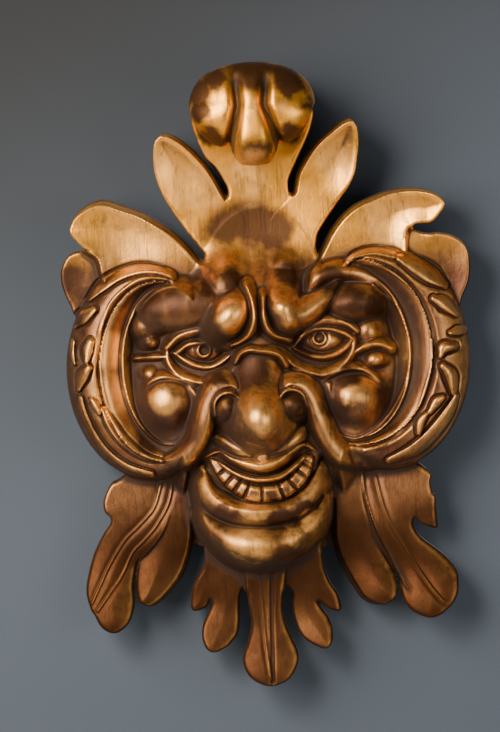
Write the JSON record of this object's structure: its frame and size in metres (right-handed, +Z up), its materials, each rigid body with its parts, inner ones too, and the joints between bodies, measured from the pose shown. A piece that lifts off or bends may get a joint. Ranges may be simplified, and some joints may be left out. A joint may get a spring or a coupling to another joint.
{
  "type": "carved satyr mask",
  "caption": "Carved wooden relief mask of a grimacing satyr with C-shaped ears, a leaf crown curling into a scroll, and a leafy beard, flat at the back to hang on a wall.",
  "frame": {"origin": "on the flat back, in the plane of the wall, near the middle of the face", "axes": "+Z up to the scroll, -Y the way the face looks, +Y into the wall, +X to the right of a viewer in front"},
  "size_m": [0.317, 0.1215, 0.4818],
  "materials": {
    "bronzed_wood": "carved wood under worn gold-bronze paint, dark in the recesses and rubbed bright on the edges"
  },
  "bodies": {
    "root": {"carved_satyr_mask": "bronzed_wood"}
  },
  "joints": []
}
